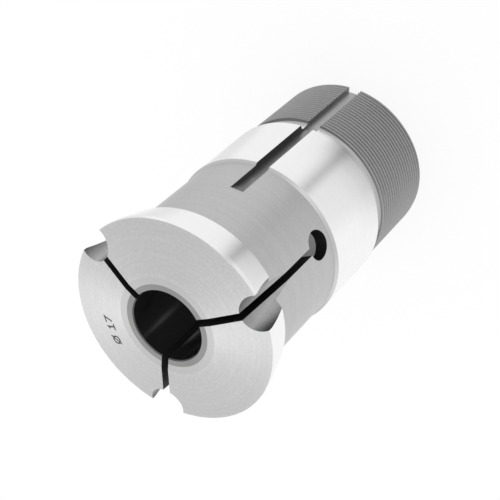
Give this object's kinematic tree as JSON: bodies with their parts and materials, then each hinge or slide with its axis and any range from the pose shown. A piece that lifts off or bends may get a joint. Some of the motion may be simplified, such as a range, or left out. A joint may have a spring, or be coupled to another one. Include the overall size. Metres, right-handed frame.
{
  "type": "split guide bush",
  "caption": "Slit collet-style guide bush with a conical head, ground band, key slot, threaded end and a hard-lined bore that guides round stock.",
  "frame": {"origin": "centre of the rear end face, on the surface that the bush stands on", "axes": "+Z along the bore axis from the threaded end to the face, +X through the middle of the key slot"},
  "size_m": [0.0487, 0.049, 0.0824],
  "materials": {
    "spring_steel": "satin, ground bright on the cone and the band",
    "hard_lining": "fine ground hard metal",
    "etched_mark": "matt, a dark etched oxide"
  },
  "bodies": {
    "root": {"bush_body": "spring_steel", "lining_segment_1": "hard_lining", "lining_segment_2": "hard_lining", "lining_segment_3": "hard_lining"}
  },
  "joints": []
}
